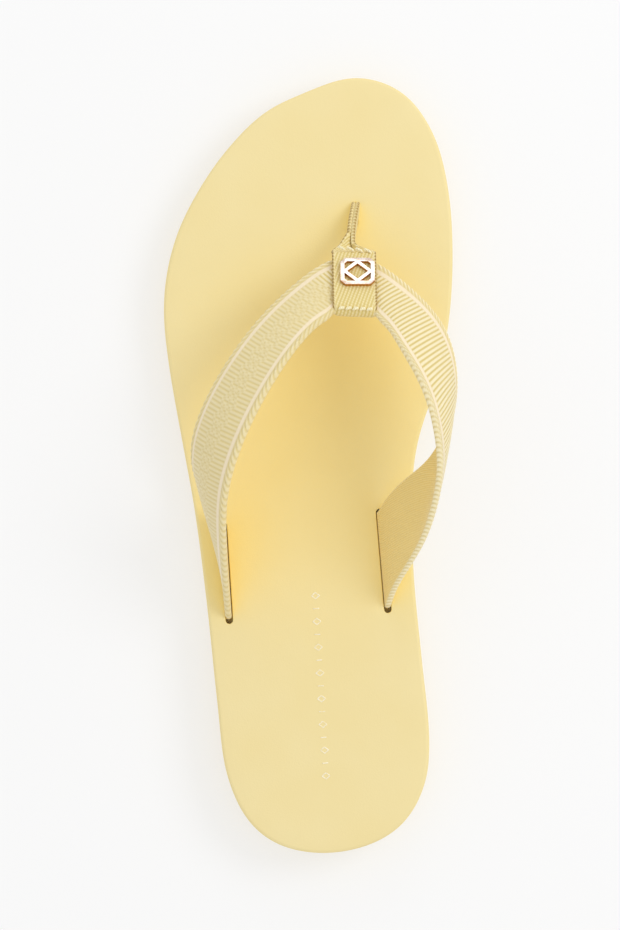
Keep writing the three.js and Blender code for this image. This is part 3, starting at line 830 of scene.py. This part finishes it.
def band_section(half_width, half_thickness, outer_count, inner_count):
    """One turn round a band's cross-section: (across, thickness offset, side) for each point.

    It runs from front to rear on the outer side, round the rear edge, and back on the inner
    side. side is 1 outside and on the edges, and 0 inside.
    """
    flat = half_width - half_thickness
    outer = [(w, half_thickness, 1.0) for w in np.linspace(-flat, flat, outer_count)]
    bends = [math.radians(a) for a in (60, 30, 0, -30, -60)]
    rear = [(flat + half_thickness * math.cos(a), half_thickness * math.sin(a), 1.0) for a in bends]
    inner = [(w, -half_thickness, 0.0) for w in np.linspace(flat, -flat, inner_count)]
    front = [(-w, n, side) for w, n, side in reversed(rear)]
    return np.array(outer + rear + inner + front)


def webbing_relief(along, across, half):
    """Height of the weave above the webbing's face, and masks for its ridges and satin."""
    edge = half - abs(across)
    between = ripple(along / WEAVE_PITCH) ** 0.8
    rib = ripple(along / WEAVE_PITCH + 0.5) ** 0.8
    pitch = np.where(along < 0, LATERAL_ROPE_PITCH, MEDIAL_ROPE_PITCH)
    strand = ripple((along - ROPE_LEAN * edge) / pitch) ** 0.9
    in_rope = ramp(SELVEDGE - edge, 0.3 * MM)
    in_ribs = ramp(edge - SELVEDGE - SATIN, 0.3 * MM)
    satin = (1 - in_rope) * (1 - in_ribs)
    round_rope = np.sqrt(np.clip(1 - ((edge - 1.0 * MM) / (1.3 * MM)) ** 2, 0, 1))
    motif = lozenge_chain(along, across) * in_ribs * ramp(MOTIF_END - along, MM)
    ribs = rib * (1 - motif) + (0.25 + 0.6 * between) * motif
    lateral = ramp(MOTIF_END / 2 - along, 8 * MM)
    ribs = ribs * (1 - 0.4 * lateral) + 0.25 * lateral
    outermost = ramp(1.5 * MM - edge, 0.7 * MM)
    dash = strand * (0.35 + 0.65 * outermost)
    # ridge also masks the painted shade in the gaps and the painted highlight on the raised threads
    ridge = in_rope * (0.25 + 0.75 * dash) + in_ribs * ribs
    height = MM * (
        in_rope * round_rope * (0.1 + ROPE_RISE * dash)
        + in_ribs * (RIB_RISE * ribs + 0.06 * motif)
        + satin * SATIN_RISE
    )
    return height, ridge, satin


def lozenge_chain(along, across):
    """1 inside a row of interlaced lozenges down the middle of the webbing, else 0."""
    length, width, bar = 12 * MM, 3.8 * MM, 0.2
    inside_any = np.zeros_like(along)
    for shift in (0, 0.5):
        place = ((along / length + shift) % 1 - 0.5) * 2
        reach = abs(place) + abs(across) / width
        inside_any = np.maximum(inside_any, ramp(bar - abs(reach - 0.85), 0.08))
    return inside_any


def pinched(rows, middle_row):
    """The webbing's rows with its rear edge drawn in where the toe tape is folded round it."""
    centre = rows[:, 2]
    apart = np.linalg.norm(centre - centre[middle_row], axis=1)
    edge = TAPE_WIDTH / 2 - 0.5 * MM
    hold = ramp(edge + 3 * MM - apart, 3 * MM)
    hold = hold * hold * (3 - 2 * hold)
    forward = unit(rows[:, 0] - rows[:, -1])
    share = np.linspace(0, 1, rows.shape[1])
    return rows + PINCH * hold[:, None, None] * share[None, :, None] * forward[:, None]


def trimmed(rows, middle_row):
    """The webbing's rows, a little narrower on the lateral side and wider on the medial one."""
    index, last = np.arange(len(rows)), len(rows) - 1
    lateral = index < middle_row
    place = np.where(lateral, index / middle_row, (last - index) / (last - middle_row))
    swell = np.clip(np.sin(math.pi * np.clip((place - 0.25) / 0.8, 0, 1)), 0, 1) ** 0.7
    rearward = unit(rows[:, -1] - rows[:, 0])
    share = np.linspace(0, 1, rows.shape[1])[None, :]
    front = (swell * lateral * LATERAL_TRIM)[:, None] * (1 - share)
    rear = (swell * ~lateral * MEDIAL_SPREAD)[:, None] * share
    return rows + (front + rear)[..., None] * rearward[:, None]


def weave_lengths(surface, rows, across, middle_row):
    """How far along the webbing each point is, so that a rib runs where this is constant.

    The webbing is creased under the toe tape, so each side has its own straight weave, and the
    medial ribs lean over more and more towards their slot. Also gives the sine of the angle
    between a row of points and the strap.
    """
    steps = np.linalg.norm(np.diff(surface, axis=0), axis=2)
    along = np.concatenate([np.zeros((1, steps.shape[1])), np.cumsum(steps, 0)])
    tangent = unit(np.gradient(rows[:, 2], axis=0))
    slant = np.einsum("ij,ij->i", unit(rows[:, -1] - rows[:, 0]), tangent)
    count = len(rows)
    for part, place in ((slice(0, middle_row), 0.6), (slice(middle_row, count), 0.4)):
        square_row = part.start + round(place * (part.stop - part.start))
        fixed = across[square_row] * slant[square_row]
        along[part] += fixed - along[square_row] + along[square_row, MIDDLE_COLUMN]
    window = np.hanning(27)[1:-1] / 13
    slant = np.convolve(np.pad(slant, 12, mode="edge"), window, mode="valid")
    along -= along[middle_row, MIDDLE_COLUMN]
    lean = ramp(along, LEAN_LENGTH) ** 2
    along = along - MEDIAL_LEAN * lean * across
    return along, np.sqrt(1 - slant**2)


def strap_webbing(material):
    columns = webbing_rows()
    for _ in range(3):
        columns[2:-2] = (columns[1:-3] + 2 * columns[2:-2] + columns[3:-1]) / 4
    places = even_places(columns[:, 2], WEBBING_STEP)
    rows = np.stack([spline(columns[:, k], places) for k in range(columns.shape[1])], 1)
    middle_row = np.argmin(abs(places - (len(columns) - 1) / 2))
    rows = trimmed(pinched(rows, middle_row), middle_row)
    half = np.linalg.norm(np.diff(rows, axis=1), axis=2).sum(1) / 2

    section = band_section(1.0, 0.0, OUTER_POINTS, INNER_POINTS)
    width = half[:, None]
    inset = WEBBING_HALF / width
    flat = np.clip(section[None, :, 0], -1 + inset, 1 - inset)
    typical_half = 12 * MM
    shaped = band_section(typical_half, WEBBING_HALF, OUTER_POINTS, INNER_POINTS)
    beyond = shaped[:, 0] - np.sign(shaped[:, 0]) * (typical_half - WEBBING_HALF)
    beyond = np.where(abs(shaped[:, 0]) > typical_half - WEBBING_HALF + 1e-9, beyond, 0)
    share = (flat + 1) / 2
    surface = across_spline(rows, share)
    step = 0.01
    rearward = across_spline(rows, np.clip(share + step, 0, 1))
    forward = across_spline(rows, np.clip(share - step, 0, 1))
    across_direction = unit(rearward - forward)
    along_direction = unit(np.gradient(surface, axis=0))
    normal = unit(np.cross(across_direction, along_direction))

    across = flat * width + beyond[None]
    along, square = weave_lengths(surface, rows, across, middle_row)
    square_across = across * square[:, None]
    square_half = (half * square)[:, None]
    height, ridge, satin = webbing_relief(along, square_across, square_half)
    side = shaped[None, :, 2]
    thickness = shaped[None, :, 1]
    points = surface + across_direction * beyond[None, :, None]
    proud = height * side * np.clip(0.4 + thickness / WEBBING_HALF, 0, 1)
    points = points + normal * (thickness + proud)[..., None]
    points += across_direction * (0.2 * height * np.sign(beyond) * side)[..., None]

    shape = np.broadcast_to(side, along.shape)
    weave = np.stack([along / MM, square_across / MM, shape], -1)
    made = tube_grid(
        "strap_webbing_cloth", points, material,
        {"weave": weave, "ridge": ridge, "satin": satin * shape},
    )
    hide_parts("strap_webbing")
    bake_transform(made)
    return columns


# ---- toe tape
class Patch:
    """The flat part of the toe tape: x across the foot, y down the instep, z out of the strap."""

    def __init__(self, columns):
        middle = columns[len(columns) // 2]
        self.centre = Vector((middle[0] + middle[-1]) / 2)
        self.half = np.linalg.norm(middle[0] - middle[-1]) / 2
        self.down = Vector(middle[0] - middle[-1]).normalized()
        self.side = Vector((1, 0, 0))
        self.out = self.side.cross(self.down)

    def place(self, x, y, z):
        return self.centre + self.side * x + self.down * y + self.out * z


def tape_path(patch, top, bottom, rear):
    """The tape's way under the webbing, round its rear edge, over it and down to the slot.

    Gives points level with the tape's right edge and, for each, how far down the toe post it
    is, from 0 to 1. The share is below 0 on the loop.
    """
    fold_radius = (top - bottom) / 2
    fold_y, fold_z = rear + fold_radius, (top + bottom) / 2
    under = [(y, bottom) for y in np.linspace(patch.half - 1.5 * MM, fold_y, 9)]
    turn = [
        (fold_y + fold_radius * math.cos(a), fold_z + fold_radius * math.sin(a))
        for a in np.radians(np.linspace(270, 90, 7)[1:-1])
    ]
    over = [(y, top) for y in np.linspace(fold_y, patch.half - 2.2 * MM, 9)]
    points = [patch.place(0, y, z) for y, z in under + turn + over]
    shares = [-0.1] * len(points)
    points.append(patch.place(0, patch.half - 0.3 * MM, top - 0.35 * MM))
    shares.append(-0.05)
    start = patch.place(0, patch.half + 1.3 * MM, 0.4 * MM)
    mouth = tape_mouth()
    handles = (start, start + Vector((0, 4.6, -5.2)) * MM, mouth + Vector((0, -1.2, 5)) * MM, mouth)
    for t in np.linspace(0, 1, 24):
        weights = [(1 - t) ** 3, 3 * t * (1 - t) ** 2, 3 * t * t * (1 - t), t**3]
        place = sum((h * w for h, w in zip(handles, weights)), Vector())
        place.x -= POST_BOW * math.sin(math.pi * t**0.65) ** 1.5
        points.append(place)
        shares.append(t)
    points.append(Vector((mouth.x, mouth.y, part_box("toe_tape")[0].z)))
    shares.append(1.2)
    return np.array(points), np.array(shares)


def tape_mouth():
    """Where the tape's two edges enter the toe slot."""
    points, _ = welded("toe_tape")
    low = points[points[:, 2] < points[:, 2].min() + 0.1 * MM]
    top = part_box("footbed_forefoot")[1].z
    return Vector((low[:, 0].mean(), low[:, 1].max(), top))


def tape_twill(along, across):
    """Fine diagonal ribs on the tape, 0 to 1, broken where the next thread crosses over."""
    rib = ripple((across - 0.32 * along) / TWILL_PITCH)
    crossing = ripple((along + 0.5 * across) / (0.9 * TWILL_PITCH))
    return np.clip(rib * (0.5 + 0.5 * crossing), 0, 1)


def folded_across(across, share):
    """The tape's cross-section at each share of the toe post's length, as offsets (x, d).

    Both halves turn up about the middle. The left half is shut only as far as a crease that
    travels out to its edge, and lies open beyond it. d is 0 at the right half's edge. Also gives
    each point's local angle, and how far the edge of its half is shut, 0 to 1.
    """
    bend_reach = 1.1 * MM
    fine = np.linspace(0, TAPE_WIDTH / 2 + MM, 200)
    step = fine[1]
    turning = ramp(fine, bend_reach)
    index = np.clip(abs(across) / step, 0, len(fine) - 2)
    whole = index.astype(int)
    rest = (index - whole)[None]
    last = round(TAPE_WIDTH / 2 / step)
    results = []
    root = np.sin(ramp(share + 0.02, MEDIAL_SHUT) * math.pi / 2)[:, None] ** 1.4
    crease = TAPE_WIDTH / 2 * ramp(share, LATERAL_SHUT)[:, None]
    facet = ramp(fine[None] - crease, CREASE_WIDTH)
    for bend in (root * np.ones_like(facet), root * (1 - (1 - FACET_LEAN) * facet)):
        angle = bend * math.pi / 2 * turning[None]
        x = np.cumsum(np.cos(angle), 1) * step - step
        d = np.cumsum(np.sin(angle), 1) * step
        tables = [t[:, whole] * (1 - rest) + t[:, whole + 1] * rest for t in (x, d, angle)]
        results.append((*tables, bend[:, last:last + 1] * np.ones_like(rest), d[:, last]))
    medial, lateral = results
    right = across[None] > 0
    x, d, local, shut = (np.where(right, a, b) for a, b in zip(medial[:4], lateral[:4]))
    return x * np.sign(across)[None], d - medial[4][:, None], local, shut


def rear_rounding(patch, centre, share, across):
    """Offsets that round the tape's corners at its rear fold and set the fold a little askew."""
    behind = -(centre - np.array(patch.centre)) @ np.array(patch.down)
    near = ramp(behind - patch.half + 5 * MM, 4 * MM) * (share < 0)
    corner = ramp(abs(across) - TAPE_WIDTH / 2 + 2 * MM, 2 * MM) ** 2
    shift = near[:, None] * (REAR_CORNER * corner - REAR_SKEW * across)[None]
    return shift[..., None] * np.array(patch.down)


def toe_tape(patch, material):
    corners = [Vector(p) - patch.centre for p in welded("toe_tape")[0]]
    top = max(corner.dot(patch.out) for corner in corners) - TAPE_HALF
    rear = min(corner.dot(patch.down) for corner in corners) + TAPE_HALF
    bottom = -WEBBING_HALF - 0.35 * MM - TAPE_HALF
    rear = min(rear, 0.1 * MM - patch.half) + PINCH
    path, shares = tape_path(patch, top, bottom, rear)
    places = even_places(path, TAPE_STEP)
    centre = spline(path, places)
    share = np.interp(places, np.arange(len(path)), shares)
    tangent = unit(np.gradient(centre, axis=0))
    side = np.broadcast_to(np.array([1.0, 0, 0]), tangent.shape)
    out = unit(np.cross(side, tangent))
    section = band_section(TAPE_WIDTH / 2, TAPE_HALF, 84, 40)
    across = section[:, 0]
    x, d, local, shut = folded_across(across, share)
    depth = FOLD_START + (1 - FOLD_START) * ramp(share, FOLD_FULL)
    d = d * depth[:, None]
    along = np.broadcast_to(length_along(centre)[:, None], x.shape)
    edge = TAPE_WIDTH / 2 - abs(across)[None]
    selvedge = ramp(1.1 * MM - edge, 0.4 * MM) * np.ones_like(along)
    strand = ripple((along + 0.6 * edge) / (1.3 * MM))
    # ridge raises the threads, and is also the mask for their painted shade and highlight in
    # tape_cloth
    ridge = tape_twill(along, across[None]) * (1 - selvedge) + (0.3 + 0.7 * strand) * selvedge
    thickness = section[None, :, 1]
    raised = thickness + np.sign(thickness) * 0.11 * MM * ridge
    x = x - np.sin(local) * np.sign(across)[None] * raised
    d = d + np.cos(local) * raised
    points = centre[:, None] + side[:, None] * x[..., None] + out[:, None] * d[..., None]
    points += rear_rounding(patch, centre, share, across)
    # painted shade for the tape's edges, where they meet the webbing and the other leaf: darkest on
    # the back half of each edge and where it is not folded shut, broken into dots along the strands
    back = np.clip(0.5 - 0.5 * thickness / TAPE_HALF, 0, 1)
    end_face = ramp(0.7 * MM - edge, 0.3 * MM)
    dark = end_face * (back + 0.9 * (1 - back) * (1 - shut)) * (1 - 0.5 * strand)
    weave = np.stack([along / MM, across[None] / MM * np.ones_like(along), dark], -1)
    made = tube_grid("toe_tape_cloth", points, material, {"weave": weave, "ridge": ridge})
    settle(made, "toe_tape", "toe_tape", "strap")
    return top + TAPE_HALF


def stitch_row(name, node, patch, surface, material, stitches, slant, skew):
    """A row of thick twisted stitches, each an arched bead that dives into the tape at its ends.

    slant is how far each stitch leans, and skew is the slope of the whole row.
    """
    low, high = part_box(node)
    middle = (low + high) / 2
    y = (middle - patch.centre).dot(patch.down)
    span = high.x - low.x
    pitch = span / stitches
    rows, around = 25, 16
    points, faces = [], []
    for k in range(stitches):
        first = len(points)
        centre_x = low.x - patch.centre.x + (k + 0.5) * pitch
        for i in range(rows):
            u = -1 + 2 * i / (rows - 1)
            swell = THREAD_RADIUS * max(1 - abs(u) ** 3.2, 0.02) ** 0.5
            lift = surface + 0.2 * MM - 0.5 * MM * abs(u) ** 3
            x = centre_x + u * pitch * 0.47
            for j in range(around):
                a = 2 * math.pi * j / around
                r = swell * (1 + 0.16 * math.cos(2 * a - 3.2 * u * math.pi))
                points.append(patch.place(
                    x + r * 0.2 * math.sin(a) * slant,
                    y + r * math.cos(a) + slant * u * MM + skew * x,
                    lift + r * math.sin(a),
                ))
        faces += ring_faces(first, rows, around) + end_faces(first, rows, around)
    made = new_object(name, points, faces, material)
    face_outward(made)
    settle(made, node, "thread", "strap")


# ---- hardware, tabs and print
def hardware(metal):
    """The ornament, and the washer that its prongs close over."""
    made = bevelled_copy("gilt_ornament", "ornament", 0.36 * MM, metal, 4)
    settle(made, "ornament", "ornament_metal", "strap")
    made = bevelled_copy("ornament_back_plate", "ornament_washer", 0.08 * MM, metal, 2)
    settle(made, "ornament_washer", "ornament_metal", "strap")


def glued_tabs(cloth, tape):
    """The flattened ends of the strap and tape, glued in under the footbed."""
    for node, body, material, slot in (
        ("webbing_tab_lateral", "heel", cloth, "webbing"),
        ("webbing_tab_medial", "heel", cloth, "webbing"),
        ("toe_tape_tab", "forefoot", tape, "toe_tape"),
    ):
        made = bevelled_copy(f"{node}_cloth", node, 0.35 * MM, material, 2)
        settle(made, node, slot, body)


def foil_stroke(points, faces, path, closed):
    """Adds a thin raised stroke of foil along a path in plan."""
    path = np.array(path)
    before = np.roll(path, 1, 0) if closed else np.concatenate([path[:1], path[:-1]])
    after = np.roll(path, -1, 0) if closed else np.concatenate([path[1:], path[-1:]])
    way = unit(after - before)
    normal = np.stack([-way[:, 1], way[:, 0]], 1)
    section = [(-0.5, -0.2), (-0.42, 0.7), (-0.2, 1.0), (0.2, 1.0), (0.42, 0.7), (0.5, -0.2)]
    first, around = len(points), len(section)
    for place, sideways in zip(path, normal):
        for across, up in section:
            x, y = place + sideways * across * FOIL_STROKE
            points.append((x, y, SOLE_TOP(y) + up * FOIL_THICKNESS))
    faces += ring_faces(first, len(path), around, closed)
    if not closed:
        faces += end_faces(first, len(path), around)


def footbed_print():
    """A line of small foil marks down the heel: open lozenges and short bars in turn."""
    low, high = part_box("footbed_print")
    size = PRINT_SIZE / 2
    start = np.array([high.x - size, low.y + size])
    run = np.array([low.x + size, high.y - size]) - start
    way = run / np.linalg.norm(run)
    sideways = np.array([-way[1], way[0]])
    points, faces = [], []
    for k in range(PRINT_MARKS):
        middle = start + run * k / (PRINT_MARKS - 1)
        if k % 2:
            ends = [middle + sideways * size * t for t in np.linspace(-0.8, 0.8, 7)]
            foil_stroke(points, faces, ends, False)
        else:
            turns = [math.radians(a) for a in range(0, 360, 15)]
            rounder = [1 / (abs(math.cos(a)) + abs(math.sin(a))) for a in turns]
            ring = [
                middle + size * r * (0.8 * way * math.cos(a) + sideways * math.sin(a))
                for a, r in zip(turns, rounder)
            ]
            foil_stroke(points, faces, ring, True)
    made = new_object("footbed_foil_marks", points, faces, foil())
    face_outward(made)
    settle(made, "footbed_print", "print_foil", "heel")


# ---- studio
def floor():
    size, cells = 6.0, 24
    row = cells + 1
    places = [(i / cells - 0.5) * size for i in range(row)]
    points = [(x, y, CAD_BOX[0].z - 0.05 * MM) for y in places for x in places]
    corners = [j * row + i for j in range(cells) for i in range(cells)]
    faces = [(k, k + 1, k + row + 1, k + row) for k in corners]
    new_object("floor", points, faces, plain_floor())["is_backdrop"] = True


def soft_light(name, place, size, power):
    """A round area light that points at the sandal."""
    light = bpy.data.lights.new(name, "AREA")
    light.shape = "DISK"
    light.size = size
    light.energy = power
    made = place_in_scene(name, light)
    made.location = place
    made.rotation_mode = "QUATERNION"
    made.rotation_quaternion = (-Vector(place)).to_track_quat("-Z", "Y")
    made.visible_camera = False


def studio():
    scene = bpy.context.scene
    scene.world = bpy.data.worlds.new("studio_world")
    scene.world.use_nodes = True
    background = scene.world.node_tree.nodes["Background"]
    background.inputs["Color"].default_value = (1, 1, 1, 1)
    background.inputs["Strength"].default_value = 0.82
    scene.view_settings.view_transform = "Standard"
    soft_light("key", (0.85, 0.35, 1.0), 0.7, 4.2)
    soft_light("front_card", (0.05, 1.35, 0.62), 0.8, 1.6)


def camera():
    """Straight above the sandal, as far off as a long lens would be."""
    low, high = CAD_BOX
    data = bpy.data.cameras.new("camera")
    data.lens = 300
    data.sensor_width = 36
    share_of_height = 0.83
    seen = (high.y - low.y) / share_of_height
    distance = seen / data.sensor_width * data.lens
    data.clip_end = 20
    made = place_in_scene("camera", data)
    made.location = ((low.x + high.x) / 2, (low.y + high.y) / 2, distance)
    bpy.context.scene.camera = made


# ---- the whole flip flop
footbed()
midsole()
outsole()
cloth = webbing_cloth()
tape = tape_cloth()
thread = thread_cloth()
strap_columns = strap_webbing(cloth)
patch = Patch(strap_columns)
gilt = gilt_metal(patch.out)
tape_surface = toe_tape(patch, tape)
sewn = (patch, tape_surface, thread)
stitch_row("front_stitches", "tape_stitching_front", *sewn, stitches=4, slant=-0.55, skew=-0.13)
stitch_row("rear_stitches", "tape_stitching_rear", *sewn, stitches=5, slant=0.3, skew=-REAR_SKEW)
hardware(gilt)
glued_tabs(cloth, tape)
footbed_print()
floor()
studio()
camera()

boxes = {"cad": CAD_BOX, "visual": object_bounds()}
{name: [list(corner) for corner in box] for name, box in boxes.items()}
